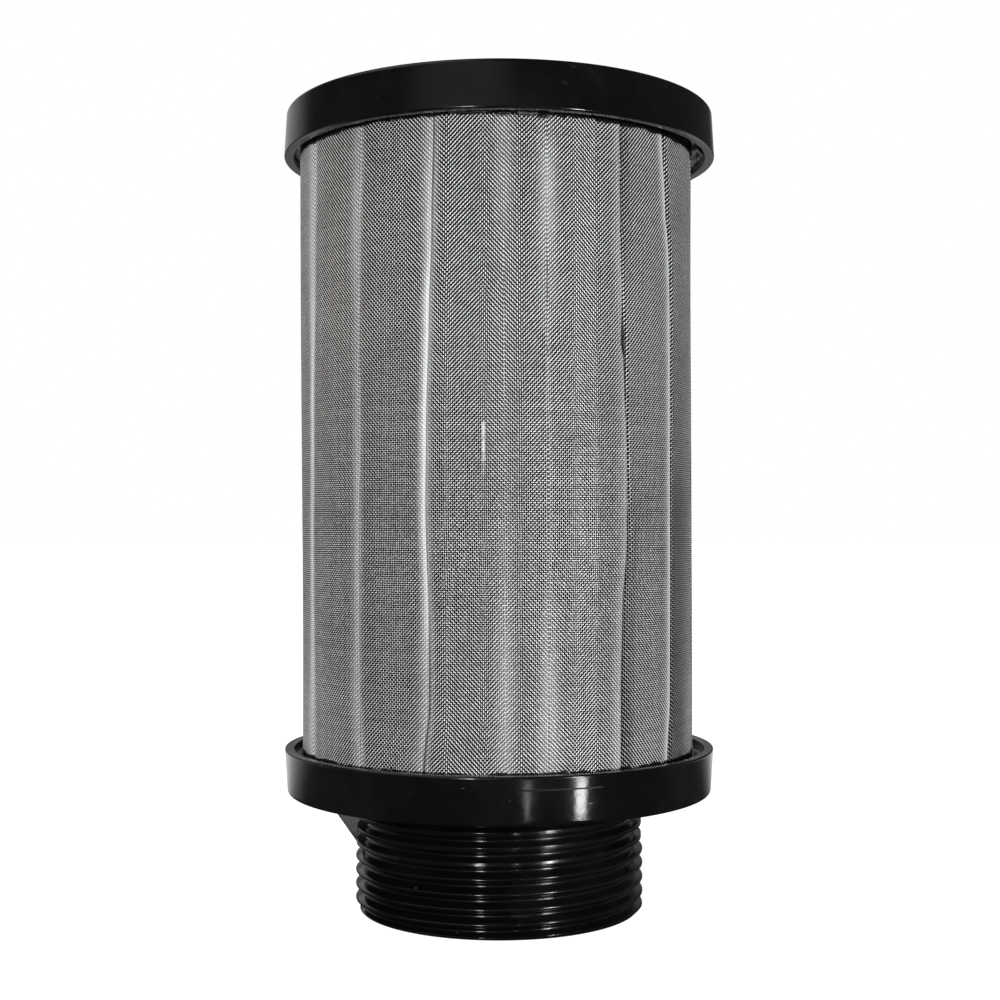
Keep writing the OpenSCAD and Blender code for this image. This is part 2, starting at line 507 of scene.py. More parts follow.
@dataclass(frozen=True)
class Finish:
    """A finish, which says what its shader takes."""

    name: str

    def looks(self, w: Bench) -> dict[str, Feed]:
        """Wires the finish and gives the shader's inputs. Each kind of finish does this its own way."""
        raise NotImplementedError

    def make(self, groups: Groups) -> bpy.types.Material:
        """Builds the finish.

        Args:
            groups: The shared effects.

        Returns:
            The material.
        """
        w = Bench(self.name, groups)
        shader = w.tree.nodes["Principled BSDF"]
        for name, value in self.looks(w).items():
            w.feed(value, shader.inputs[name])
        return w.material


@dataclass(frozen=True)
class BlackMoulding(Finish):
    """Glossy black moulding with the ripple, dust and rubs of a handled part."""

    colour: Triple = (0.0024, 0.0024, 0.0024)
    worn: Triple = (0.025, 0.025, 0.025)
    dust: Triple = (0.12, 0.12, 0.12)
    gloss: float = 0.12
    specular: float = 0.4
    scores: tuple[Triple, ...] = ((0.0250, 0.0026, 0.0158), (0.0227, 0.0125, 0.0142))
    score_fade: float = 0.0015

    def scored(self, w: Bench) -> Socket:
        """Masks the fine lines scored into the lower cap's front, by their height, left end and right end.

        Args:
            w: The material's wiring.

        Returns:
            1 in a line, 0 elsewhere.
        """
        x, y, z = w.split(w.where)
        front = w.math("LESS_THAN", y, 0.0)
        lines: Feed = 0.0
        for height, left, right in self.scores:
            line = w.span(w.apart(z, height), 0.00006, 0.00014, 1.0, 0.0)
            starts = w.span(x, left, left + self.score_fade)
            stops = w.span(x, right - self.score_fade, right, 1.0, 0.0)
            lines = w.most(lines, w.times(line, w.times(starts, stops), front))
        return lines

    def looks(self, w: Bench) -> dict[str, Feed]:
        """Wires the finish.

        Args:
            w: The material's wiring.

        Returns:
            What the shader takes.
        """
        marks = w.marks()
        colour = w.blend(w.times(marks["Rub"], 0.18), self.colour, self.worn)
        colour = w.blend(w.times(marks["Scratches"], 0.5), colour, self.worn)
        rough = w.plus(self.gloss, w.times(marks["Rub"], 0.1), w.times(marks["Scratches"], 0.2))
        rough = w.plus(rough, w.times(self.scored(w), 0.55))
        return {
            "Base Color": w.blend(marks["Dust"], colour, self.dust),
            "Roughness": w.math("ADD", rough, w.times(marks["Dust"], 0.5), clamp=True),
            "Specular IOR Level": self.specular,
            "Normal": w.bump(marks["Ripple"], 0.4, 0.00006),
        }


@dataclass(frozen=True)
class WireCloth(Finish):
    """Plain-weave wire cloth: painted glints on the wires over painted shade, painted highlights on the pleats' edges.
    """

    painted_highlight: Triple = (0.937, 0.95, 0.966)
    painted_shade: Triple = (0.003, 0.003, 0.003)
    pitch: float = 0.0003175
    rise: float = 0.000327
    wander: Triple = (0.00025, 0.00025, 0.0)
    gloss: float = 0.4
    metal: float = 0.22
    specular: float = 0.05
    round_wires: float = 0.3
    middle_z: float = 0.0626
    sheen_reach: float = 0.055
    crease_x: float = -0.00229
    crease_low: float = 0.0696
    crease_high: float = 0.0789
    dark_end_low: float = 0.0270
    dark_end_high: float = 0.1235

    def crease_highlight(self, w: Bench) -> Socket:
        """Masks the painted highlight along a short fold in the middle of the front.

        Args:
            w: The material's wiring.

        Returns:
            Strength of the painted highlight, 0 elsewhere.
        """
        x, y, z = w.split(w.where)
        line = w.span(w.apart(x, self.crease_x), 0.00008, 0.00034, 0.42, 0.0)
        top = w.span(z, self.crease_high - 0.0008, self.crease_high, 1.0, 0.0)
        ends = w.times(w.span(z, self.crease_low, self.crease_low + 0.006), top)
        return w.times(line, ends, w.math("LESS_THAN", y, 0.0))

    def darkened_ends(self, w: Bench) -> Socket:
        """Masks the cloth's two ends, darkened with a ragged edge.

        Args:
            w: The material's wiring.

        Returns:
            1 in the darkened ends, 0 between them.
        """
        height = w.split(w.where)[2]
        creep = w.times(w.minus(w.grain(w.where, 420.0, 3.0, 0.6), 0.5), 0.0016)
        inside = w.most(w.minus(self.dark_end_low, height), w.minus(height, self.dark_end_high))
        return w.span(w.plus(inside, creep), -0.0001, 0.0002)

    def looks(self, w: Bench) -> dict[str, Feed]:
        """Wires the finish.

        Args:
            w: The material's wiring.

        Returns:
            What the shader takes.
        """
        flat = w.node("UVMap", uv_map=WEAVE_MAP).outputs[0]
        # Painted light of the pleats, highlight above 0 and shade below, and the lean of the painted glint.
        rub, sheen = (w.node("Attribute", attribute_name=name).outputs["Fac"] for name in (PAINTED_LIGHT_NAME, SHEEN))
        height = w.split(w.where)[2]
        drift = w.node("TexNoise", {"Vector": flat, "Scale": 70.0}).outputs["Color"]
        shift = w.vector("MULTIPLY_ADD", drift, self.wander, flat)
        low, high = self.middle_z - self.sheen_reach, self.middle_z + self.sheen_reach
        # Where the painted glint sits on each hump: by bearing from the sheen attribute, and up or down with height.
        lean = w.join(sheen, w.span(height, low, high, -0.45, 0.45), 0.0)
        weave = w.groups.weave.use(w, Where=shift, Pitch=self.pitch, Rise=self.rise, Wire=0.3, Crimp=0.2, Lean=lean)
        grime = w.span(w.grain(w.where, 120.0, 4.0, 0.6), 0.42, 0.78)
        painted_highlight = w.most(rub, w.times(self.crease_highlight(w), w.span(weave["Sparkle"], 0.0, 1.0, 0.55, 1.45)))
        # Painted shade where the painted light attribute is below 0.
        dull = w.most(w.times(rub, -1.0), 0.0)
        # Painted glints on the wire humps over painted shade, varied at random per wire and knuckle, dimmed by dirt.
        lit = w.times(
            weave["Glint"],
            w.plus(0.78, w.times(weave["Shade"], 0.3)),
            w.minus(1.0, w.times(grime, 0.14)),
            w.plus(w.times(weave["Sparkle"], 0.5), 0.75),
            # Painted shade: the glints are darker towards the middle of the height.
            w.span(w.apart(height, self.middle_z), 0.0, self.sheen_reach * 0.8, 0.84, 1.0),
            w.minus(1.0, w.times(dull, 0.9)),
        )
        # Painted highlights on the pleats' edges and the fold line lift the colour towards white.
        lit = w.plus(lit, w.times(painted_highlight, w.minus(1.0, lit)))
        # Darker at the cloth's two ends.
        lit = w.times(lit, w.span(self.darkened_ends(w), 0.0, 1.0, 1.0, 0.04))
        slope = {"Strength": self.round_wires, "Color": weave["Slope"]}
        return {
            "Base Color": w.blend(lit, self.painted_shade, self.painted_highlight),
            "Metallic": w.times(w.most(weave["Wires"], painted_highlight), self.metal),
            "Specular IOR Level": self.specular,
            "Roughness": w.plus(w.times(grime, 0.06), self.gloss, w.times(painted_highlight, 0.1)),
            "Normal": w.node("NormalMap", slope, uv_map=WEAVE_MAP).outputs[0],
        }


@dataclass(frozen=True)
class SheetSteel(Finish):
    """Zinc-coated sheet steel with a faint spangle, rolling streaks and dull patches."""

    colour: Triple = (0.60, 0.61, 0.62)
    dull: Triple = (0.38, 0.385, 0.39)
    gloss: float = 0.32

    def looks(self, w: Bench) -> dict[str, Feed]:
        """Wires the finish.

        Args:
            w: The material's wiring.

        Returns:
            What the shader takes.
        """
        marks = w.marks()
        spangle = w.split(w.cells(w.where, 260.0)["Color"])[0]
        streak = w.grain(w.turned(w.where, (0.0, 0.0, 0.0), (900.0, 900.0, 30.0)), 1.0, 2.0, 0.5)
        colour = w.blend(w.times(spangle, 0.45), self.colour, self.dull)
        return {
            "Base Color": w.blend(w.times(marks["Rub"], 0.5), colour, self.dull),
            "Metallic": 1.0,
            "Roughness": w.plus(self.gloss, w.times(streak, 0.16), w.times(marks["Scratches"], 0.15)),
            "Normal": w.bump(streak, 0.2, 0.00004),
        }


@dataclass(frozen=True)
class PottingResin(Finish):
    """Poured resin: dark and uneven, with dried grey edges and pinholes."""

    colour: Triple = (0.006, 0.006, 0.006)
    dried: Triple = (0.15, 0.15, 0.15)
    dust: Triple = (0.4, 0.4, 0.4)
    share: float = 0.2

    def looks(self, w: Bench) -> dict[str, Feed]:
        """Wires the finish.

        Args:
            w: The material's wiring.

        Returns:
            What the shader takes.
        """
        cloud = w.grain(w.where, 420.0, 5.0, 0.65)
        dry = w.span(cloud, 0.72 - 0.5 * self.share, 0.86 - 0.5 * self.share)
        lumps = w.plus(w.grain(w.where, 700.0, 3.0, 0.5), w.times(cloud, 0.7))
        return {
            "Base Color": w.blend(w.marks()["Dust"], w.blend(dry, self.colour, self.dried), self.dust),
            "Roughness": w.span(dry, 0.0, 1.0, 0.3, 0.62),
            "Normal": w.bump(lumps, 0.5, 0.0002),
        }


# ---------------------------------------------------------------- moulded caps


@dataclass
class Thread:
    """Right-hand parallel pipe thread with rounded crests and roots, in millimetres, its form in pitches."""

    crest_r: float = 23.9
    pitch: float = 2.309
    flank: float = 27.5
    curve: float = 0.137329
    depth: float = 0.640327
    sharp_depth: float = 0.960491
    rows_per_turn: int = 24
    crest_at: float = 1.85
    runout_from: float = 9.6
    runout_to: float = 12.4
    runout_drop: float = 0.25
    lead: float = 0.8

    def radius(self, bearing: float, height: float) -> float:
        """Works out the thread's radius at a place on the spigot.

        Args:
            bearing: Degrees from the front.
            height: Height above the open end.

        Returns:
            The radius in millimetres.
        """
        spot = (height - self.crest_at) / self.pitch - (bearing + 90.0) / 360.0
        off = abs(spot - round(spot)) * self.pitch
        flank = math.radians(self.flank)
        curve = self.curve * self.pitch
        reach = curve * math.cos(flank)
        if off < reach:
            radius = self.crest_r - curve + math.sqrt(curve**2 - off**2)
        elif self.pitch / 2 - off < reach:
            root = self.crest_r - self.depth * self.pitch
            radius = root + curve - math.sqrt(curve**2 - (self.pitch / 2 - off) ** 2)
        else:
            radius = self.crest_r + self.sharp_depth * self.pitch / 6 - off / math.tan(flank)
        drop = self.runout_drop * ease((height - self.runout_from) / (self.runout_to - self.runout_from))
        return min(radius, self.crest_r - drop, self.crest_r - self.lead + height)


@dataclass
class Rib:
    """Small rib between the spigot and the cap's underside, in millimetres."""

    bearing: float = -95.0
    reach: float = 6.8
    height: float = 9.5
    thick: float = 2.0
    root: float = 2.2
    sunk: float = 0.5
    rounding: float = 0.2

    def build(self, spigot_r: float, foot: float) -> BMesh:
        """Builds the rib as a rounded wedge, turned to its bearing.

        Args:
            spigot_r: Radius of the thread's crests.
            foot: Height of the cap's underside.

        Returns:
            The mesh, in metres.
        """
        bm = bmesh.new()
        inside, outside = spigot_r - self.root, spigot_r + self.reach
        low, high = foot - self.height, foot + self.sunk
        spots = ((inside, low), (spigot_r, low), (outside, foot), (outside, high), (inside, high))
        face = bm.faces.new([bm.verts.new((r * MM, -self.thick / 2 * MM, z * MM)) for r, z in spots])
        pushed = bmesh.ops.extrude_face_region(bm, geom=[face])["geom"]
        raised = [v for v in pushed if isinstance(v, BMVert)]
        bmesh.ops.translate(bm, verts=raised, vec=(0.0, self.thick * MM, 0.0))
        bmesh.ops.recalc_face_normals(bm, faces=bm.faces[:])
        round_off(bm, bm.edges[:], self.rounding, 1)
        turn = Matrix.Rotation(math.radians(self.bearing - 90.0), 3, "Z")
        bmesh.ops.rotate(bm, verts=bm.verts[:], cent=CENTRE, matrix=turn)
        return bm


@dataclass
class Cap:
    """A moulded cap, spun from its half section, in millimetres from its closed end."""

    end: End
    height: float = 7.4
    end_r: float = 35.1
    lip_r: float = 35.55
    wall: float = 1.6
    floor: float = 2.0
    edge_round: float = 0.6
    lip_round: float = 0.35
    floor_round: float = 0.5
    foot_round: float = 0.3
    ledge_round: float = 0.25
    collar_r: float = 21.2
    collar_wall: float = 1.6
    collar_h: float = 4.0
    bore_r: float = 19.5
    mouth: float = 0.5
    foot_z: float = 19.6
    top_z: float = 131.0
    gate: Track = ((0.0, 0.12), (1.1, 0.12), (1.3, 0.3), (4.2, 0.3), (4.6, 0.0))
    steps: int = 192
    round_cuts: int = 6
    flat_edge: float = 0.05
    thread: Thread = field(default_factory=Thread)
    rib: Rib = field(default_factory=Rib)

    def level(self, height: float) -> float:
        """Turns a height above the cap's closed end into one above the spigot's open end."""
        return self.foot_z + height if self.end is End.BOTTOM else self.top_z - height

    def section(self) -> list[Triple]:
        """Lists the corners of the half section.

        Returns:
            Radius, height and rounding of each corner, from the axis or spigot outwards and back.
        """
        slope = (self.lip_r - self.end_r) / self.height
        foot, lip, floor = self.level(0.0), self.level(self.height), self.level(self.floor)
        ledge = self.level(self.floor + self.collar_h)
        skirt = [
            (self.end_r, foot, self.edge_round),
            (self.lip_r, lip, self.lip_round),
            (self.lip_r - self.wall, lip, self.lip_round),
            (self.end_r - self.wall + slope * self.floor, floor, self.floor_round),
            (self.collar_r, floor, self.foot_round),
            (self.collar_r, ledge, self.ledge_round),
        ]
        if self.end is End.TOP:
            inside = self.collar_r - self.collar_wall
            return [
                *((r, self.level(depth), 0.0) for r, depth in self.gate),
                *skirt,
                (inside, ledge, self.ledge_round),
                (inside, floor, self.foot_round),
                (0.0, floor, 0.0),
            ]
        return [
            (self.thread.crest_r, 0.0, 0.0),
            (self.thread.crest_r, foot, 0.0),
            *skirt,
            (self.bore_r, ledge, self.ledge_round),
            (self.bore_r, self.mouth, 0.0),
            (self.bore_r + self.mouth, 0.0, 0.0),
        ]

    def spun(self) -> BMesh:
        """Spins the half section to a closed moulding with rounded edges.

        Returns:
            The mesh, in metres.
        """
        bm = bmesh.new()
        corners = self.section()
        chain = [bm.verts.new((r * MM, 0.0, z * MM)) for r, z, _ in corners]
        edges = [bm.edges.new(pair) for pair in zip(chain, chain[1:])]
        if self.end is End.BOTTOM:
            bm.edges.new((chain[-1], chain[0]))
            cuts = round(self.level(0.0) / self.thread.pitch * self.thread.rows_per_turn)
            bmesh.ops.subdivide_edges(bm, edges=[edges[0]], cuts=cuts)
        spin_round(bm, self.steps)
        self.round_rings(bm, corners)
        return bm

    def round_rings(self, bm: BMesh, corners: Sequence[Triple]) -> None:
        """Rounds the rings at the section's corners and holds the flats between them true.

        Args:
            bm: The spun moulding.
            corners: Radius, height and rounding of each corner.
        """
        curved: set[BMFace] = set()
        for rounding in sorted({size for _, _, size in corners if size > 0.0}):
            spots = [(r * MM, z * MM) for r, z, size in corners if size == rounding]
            rings = [e for e in bm.edges if all(self.on_ring(v, spots) for v in e.verts)]
            made = round_off(bm, rings, rounding, self.round_cuts)
            curved = {f for f in curved if f.is_valid} | set(made)
        flats = [f for f in bm.faces if f not in curved]
        bmesh.ops.inset_region(bm, faces=flats, thickness=self.flat_edge * MM, use_boundary=True, use_even_offset=True)

    @staticmethod
    def on_ring(vert: BMVert, spots: Sequence[tuple[float, float]]) -> bool:
        """Says whether a vertex lies on one of the rings given by radius and height."""
        radius = math.hypot(vert.co.x, vert.co.y)
        return any(abs(radius - r) < SAME_SPOT and abs(vert.co.z - z) < SAME_SPOT for r, z in spots)

    def cut_thread(self, bm: BMesh) -> None:
        """Forms the thread's turns on the spigot's outer wall.

        Args:
            bm: The spun moulding.
        """
        top = self.level(0.0) * MM
        for vert in bm.verts:
            radius = math.hypot(vert.co.x, vert.co.y)
            if abs(radius - self.thread.crest_r * MM) > SAME_SPOT or vert.co.z > top + SAME_SPOT / 2:
                continue
            wanted = self.thread.radius(bearing_of(vert.co), vert.co.z / MM) * MM
            vert.co.x *= wanted / radius
            vert.co.y *= wanted / radius

    def add_rib(self, bm: BMesh) -> None:
        """Adds the rib's mesh to the moulding.

        Args:
            bm: The spun moulding.
        """
        wedge = self.rib.build(self.thread.crest_r, self.level(0.0))
        carrier = bpy.data.meshes.new("rib")
        wedge.to_mesh(carrier)
        wedge.free()
        bm.from_mesh(carrier)
        bpy.data.meshes.remove(carrier)

    def build(self, material: bpy.types.Material) -> bpy.types.Object:
        """Builds the cap and dresses it.

        Args:
            material: The moulding's finish.

        Returns:
            The piece.
        """
        bm = self.spun()
        if self.end is End.BOTTOM:
            self.cut_thread(bm)
            self.add_rib(bm)
        sharpen(bm)
        return place(bm, f"{self.end.value}_moulding", material, Slot.CAP, f"{self.end.value}_cap")


# ---------------------------------------------------------------- pleated wire cloth


@dataclass(frozen=True)
class Slit:
    """A slit between two pleats, in millimetres: its mouth, edges, painted highlight and painted shade up the height.
    """

    bearing: float = 0.0
    mouth: Track = ((0.0, 0.02),)
    edge: Track = ((0.0, 0.5),)
    tuck: Track = ((0.0, 0.3),)
    drift: Track = ((0.0, 0.0),)
    # Painted highlight on the edges by height, band being its width; shade is painted shade to the slit's right.
    rub: Track = ((0.0, 0.5),)
    band: Track = ((0.0, 0.6),)
    soft: float = 0.4
    shade: Track = ()
    shade_band: float = 0.9

    def across(self) -> Vector:
        """Gives the direction to the right of the slit, in plan."""
        turn = math.radians(self.bearing)
        return Vector((math.cos(turn), math.sin(turn)))

    def shine(self, share: float, point: Vector) -> float:
        """Works out the painted highlight and painted shade on the cloth near the slit.

        Args:
            share: Place up the height.
            point: Place in plan.

        Returns:
            Above 0 for painted highlight, strongest on the edge to the slit's left; below 0 for painted shade to its
            right.
        """
        off = point.dot(self.across()) - along(self.drift, share)
        width = along(self.band, share)
        if off > 0.0 and self.shade:
            return -along(self.shade, share) * math.exp(-((off / self.shade_band) ** 4))
        return along(self.rub, share) * math.exp(-((off / (width if off < 0.0 else width * self.soft)) ** 2))


# A slit that is pressed shut, so that only its painted highlight shows.
SHUT = Slit(mouth=((0.0, -0.24),), edge=((0.0, 0.03),), tuck=((0.0, 0.03),), soft=1.0)

# The slits that face the front, as they stand there, by their number from the seam.
FRONT_SLITS: dict[int, Slit] = {
    0: replace(
        SHUT,
        drift=((0.0, 0.25),),
        rub=((0.0, 0.14), (0.15, 0.16), (0.3, 0.07), (0.5, 0.02), (0.8, 0.04), (0.9, 0.1), (1.0, 0.09)),
        band=((0.0, 1.3),),
    ),
    1: replace(
        SHUT,
        rub=((0.0, 0.15), (0.13, 0.2), (0.24, 0.1), (0.33, 0.08), (0.65, 0.08), (0.73, 0.08), (0.9, 0.22), (1.0, 0.04)),
        band=((0.0, 1.6), (0.2, 1.2), (0.33, 0.2), (0.65, 0.2), (0.73, 1.2), (1.0, 1.2)),
    ),
    2: Slit(
        mouth=((0.0, 0.0), (0.5, -0.1), (0.63, 0.1), (0.665, 0.9), (0.7, 0.1), (0.75, -0.2), (1.0, -0.2)),
        edge=((0.0, 0.6), (0.7, 0.6), (0.8, 0.3), (1.0, 0.3)),
        tuck=((0.0, 1.2), (0.3, 1.2), (0.48, 0.3), (0.74, 0.3), (0.82, 1.2), (1.0, 1.4)),
        drift=(
            (0.04, 0.3), (0.13, 0.3), (0.24, 0.6), (0.36, 1.5), (0.5, 1.5),
            (0.6, 1.1), (0.73, 0.6), (0.81, 0.1), (1.0, 0.0),
        ),
        rub=((0.0, 0.24), (0.5, 0.24), (1.0, 0.15)),
        band=((0.0, 1.7), (0.35, 1.2), (1.0, 1.0)),
        shade=((0.0, 0.6), (0.22, 0.48), (0.36, 0.35), (0.5, 0.01), (0.74, 0.01), (0.82, 0.35), (1.0, 0.5)),
        shade_band=2.0,
    ),
    3: Slit(
        mouth=((0.0, 0.15),),
        edge=((0.0, 0.8),),
        tuck=((0.0, 0.6),),
        drift=((0.0, -0.5), (0.1, 0.3), (0.4, 0.4), (0.73, 0.6), (0.81, 0.3), (0.89, -0.8), (1.0, -1.8)),
        rub=((0.0, 0.9),),
        band=((0.0, 1.3),),
        shade=((0.0, 0.7), (0.4, 0.6), (0.5, 0.3), (1.0, 0.15)),
        shade_band=7.0,
    ),
    14: Slit(
        edge=((0.0, 0.7),),
        drift=((0.0, -0.6), (0.3, -0.6), (0.55, -0.1), (0.8, 0.5), (1.0, 1.1)),
        rub=((0.0, 0.34), (0.25, 0.58), (0.6, 0.75), (0.85, 0.42), (1.0, 0.34)),
        band=((0.0, 2.2), (0.25, 1.2), (0.6, 1.0), (0.85, 1.8), (1.0, 2.2)),
    ),
    15: Slit(
        edge=((0.0, 0.7),),
        drift=((0.0, 1.2), (0.12, 0.6), (0.25, 0.8), (0.5, 1.0), (0.8, 1.0), (1.0, 1.7)),
        rub=((0.0, 0.24), (0.2, 0.32), (0.35, 0.36), (0.72, 0.28), (0.85, 0.32), (1.0, 0.24)),
        band=((0.0, 1.5), (0.25, 1.0), (0.68, 0.9), (0.85, 1.5), (1.0, 1.5)),
    ),
    16: Slit(
        edge=((0.0, 0.9), (0.28, 0.7), (0.75, 0.7), (1.0, 0.9)),
        drift=((0.0, 0.2), (0.1, 1.1), (0.22, 1.1), (0.4, 0.6), (0.52, 0.75), (0.7, 1.25), (0.82, 1.75), (1.0, 2.1)),
        rub=((0.0, 0.16), (0.15, 0.24), (0.28, 0.62), (0.5, 0.74), (0.72, 0.76), (0.82, 0.4), (1.0, 0.2)),
        band=((0.0, 1.7), (0.15, 1.4), (0.28, 0.85), (0.75, 0.8), (0.85, 1.2), (1.0, 1.5)),
    ),
}


@dataclass
class ClothPack:
    """One strip of wire cloth, folded into broad pleats and closed in a clip, in millimetres."""

    face_r: float = 32.175
    thick: float = 0.25
    fold_in_r: float = 22.3
    wall_v: float = 0.425
    foot_z: float = 22.1
    head_z: float = 128.5
    lip_z: float = 27.0
    top_lip_z: float = 123.6
    seam_bearing: float = 1.8
    seam_pleat: float = 11.9
    pleats: int = 16
    clip_web_r: float = 22.8
    clip_mouth_r: float = 27.3
    pinch_v: float = 0.175
    rows: int = 48
    shoulder_cuts: int = 8
    face_cuts: int = 18
    wall_cuts: int = 4
    fold_cuts: int = 6
    strip: float = 31.75
    deep_shade: float = -0.6
    swell: float = 0.12
    belly: float = 0.16
    ripple: float = 0.05
    lean: Track = ((0.0, -0.3), (1.0, -0.6))
    lean_from: float = 24.0
    lean_over: float = 7.5
    front: float = 95.0
    # Which way the painted glint leans, by bearing across the front.
    sheen: Track = (
        (-95.0, -0.3), (-37.0, -0.3), (-31.0, 0.0), (-27.0, 0.0), (-23.0, -0.3), (-16.0, -0.3),
        (-12.0, 0.3), (-6.0, 0.3), (-1.5, -0.3), (3.5, -0.3), (7.5, 0.3), (18.5, 0.3),
        (22.5, -0.3), (25.0, -0.3), (29.0, 0.3), (95.0, 0.3),
    )
    back_sheen: float = 0.3
    back_waves: float = 11.0

    def slits(self) -> list[Slit]:
        """Lists every slit from the seam once round to the seam again.

        Returns:
            The slits, those at the back with their own mild unevenness.
        """
        step = (360.0 - self.seam_pleat) / self.pleats
        stops = [n / 5.0 for n in range(6)]
        found: list[Slit] = []
        for k in range(self.pleats + 1):
            bearing = self.seam_bearing + self.seam_pleat + (k - 1) * step if k else self.seam_bearing
            if k in FRONT_SLITS:
                found.append(replace(FRONT_SLITS[k], bearing=bearing))
                continue
            gaps = [noise.noise(Vector((k * 3.7, s * 2.3, 1.5))) for s in stops]
            bends = [noise.noise(Vector((k * 2.9, s * 1.7, 8.5))) for s in stops]
            found.append(
                Slit(
                    bearing,
                    tuple((s, max(0.02, 0.5 + 1.6 * r)) for s, r in zip(stops, gaps)),
                    tuple((s, 0.7 + 0.3 * r) for s, r in zip(stops, bends)),
                    drift=tuple((s, 1.2 * r) for s, r in zip(stops, bends)),
                    # Painted highlight and painted shade of the back slits, uneven at random.
                    rub=tuple((s, 0.5 + 0.5 * r) for s, r in zip(stops, gaps)),
                    band=tuple((s, 0.9 + 0.5 * r) for s, r in zip(stops, bends)),
                    shade=((0.0, 0.3),),
                )
            )
        return [*found, replace(found[0], bearing=found[0].bearing + 360.0)]

    def sheen_at(self, point: Vector) -> float:
        """Works out which way the painted glint leans on the wires at a place on the cloth.

        Args:
            point: The place.

        Returns:
            Below 0 where the painted glint sits to the left on each hump, above 0 to the right.
        """
        bearing = bearing_of(point)
        if abs(bearing) < self.front:
            return along(self.sheen, bearing)
        return self.back_sheen * math.sin(math.radians(bearing * self.back_waves))

    @staticmethod
    def at(slit: Slit, outwards: float, sideways: float) -> Vector:
        """Finds a point in plan from its distance along a slit's middle line and to the right of it."""
        turn = math.radians(slit.bearing)
        return Vector((math.sin(turn), -math.cos(turn))) * outwards + slit.across() * sideways

    def shoulder(self, slit: Slit, share: float, face_r: float, side: float) -> list[Spot]:
        """Lays out a pleat's wall and rounded edge at one of its slits.

        Args:
            slit: The slit.
            share: Place up the height, 0 at the lower lip and 1 at the upper.
            face_r: Radius of the pleat's face.
            side: 1 for the pleat to the right of the slit, -1 for the one to its left.

        Returns:
            Points and their painted light, highlight above 0 and shade below, from the inner fold outwards to the face.
        """
        bend = along(slit.tuck if side > 0.0 else slit.edge, share)
        # The walls and fold of a shaded slit carry painted shade.
        deep = self.deep_shade if slit.shade else 0.0
        mouth = along(slit.mouth, share) / 2 + self.thick / 2
        centre_v = side * (mouth + bend) + along(slit.drift, share)
        centre_u = math.sqrt((face_r - bend) ** 2 - centre_v**2)
        fold = (self.fold_in_r + self.wall_v + self.thick / 2, side * self.wall_v)
        seam = slit.bearing in (self.seam_bearing, self.seam_bearing + 360.0)
        start = Vector((self.clip_mouth_r, side * self.pinch_v) if seam else fold)
        finish = Vector((centre_u, centre_v - side * bend))
        spots = [(self.at(slit, self.clip_web_r, side * self.pinch_v), deep)] if seam else []
        for n in range(self.wall_cuts):
            point = start.lerp(finish, n / self.wall_cuts)
            spots.append((self.at(slit, point.x, point.y), deep))
        last = math.atan2(side * centre_v, centre_u)
        for n in range(self.shoulder_cuts + 1):
            turn = -math.pi / 2 + (last + math.pi / 2) * n / self.shoulder_cuts
            point = self.at(slit, centre_u + bend * math.cos(turn), centre_v + side * bend * math.sin(turn))
            # The rounded edge takes the slit's painted light.
            spots.append((point, slit.shine(share, point)))
        return spots

    def pleat(self, number: int, slits: Sequence[Slit], share: float) -> tuple[list[Spot], int]:
        """Lays out one pleat from the slit before it to the slit after it.

        Args:
            number: The pleat's number from the seam.
            slits: All slits.
            share: Place up the height.

        Returns:
            Its points in plan and their painted light, and the place of its face's middle in that list.
        """
        before, after = slits[number], slits[number + 1]
        face_r = self.face_r + self.swell * noise.noise(Vector((number * 5.3, share * 2.1, 4.0)))
        left = self.shoulder(before, share, face_r, 1.0)
        right = self.shoulder(after, share, face_r, -1.0)
        first, last = bearing_of(left[-1][0]), bearing_of(right[-1][0])
        last += 360.0 if last < first else 0.0
        face = []
        for n in range(1, self.face_cuts):
            part = n / self.face_cuts
            crown = math.sin(math.pi * part)
            belly = self.belly * crown * noise.noise(Vector((number * 2.3, share * 1.6, 11.0)))
            ripple = self.ripple * crown * noise.noise(Vector((number * 7.1 + part * 5.0, share * 3.1, 2.0)))
            point = around(face_r + belly + ripple, first + (last - first) * part, 0.0).to_2d()
            # The face takes painted light from the slits on both its sides.
            face.append((point, before.shine(share, point) + after.shine(share, point)))
        return [*left, *face, *reversed(right)], len(left) + self.face_cuts // 2 - 1

    def fold(self, slit: Slit) -> list[Spot]:
        """Lays out the half-round inner fold at a slit.

        Args:
            slit: The slit.

        Returns:
            Its points in plan, without its two ends, and their painted shade.
        """
        middle = self.fold_in_r + self.wall_v + self.thick / 2
        turns = [math.pi * n / self.fold_cuts for n in range(1, self.fold_cuts)]
        spots = [self.at(slit, middle - self.wall_v * math.sin(t), -self.wall_v * math.cos(t)) for t in turns]
        return [(spot, self.deep_shade) for spot in spots]

    def row(self, slits: Sequence[Slit], height: float) -> list[Laid]:
        """Lays out the whole strip at one height.

        Args:
            slits: All slits.
            height: Height above the spigot's open end.

        Returns:
            Its points, in metres, their painted light, and their place along the strip laid flat.
        """
        share = min(max((height - self.lip_z) / (self.top_lip_z - self.lip_z), 0.0), 1.0)
        lean = along(self.lean, share)
        laid: list[Laid] = []
        for number in range(len(slits) - 1):
            strip, middle = self.pleat(number, slits, share)
            if number < len(slits) - 2:
                strip += self.fold(slits[number + 1])
            reach = list(accumulate(((b - a).length for (a, _), (b, _) in zip(strip, strip[1:])), initial=0.0))
            for (p, rub), run in zip(strip, reach):
                leant = p.x + lean * ease((p.length - self.lean_from) / self.lean_over)
                laid.append((Vector((leant, p.y, height)) * MM, rub, (number * self.strip + run - reach[middle]) * MM))
        return laid

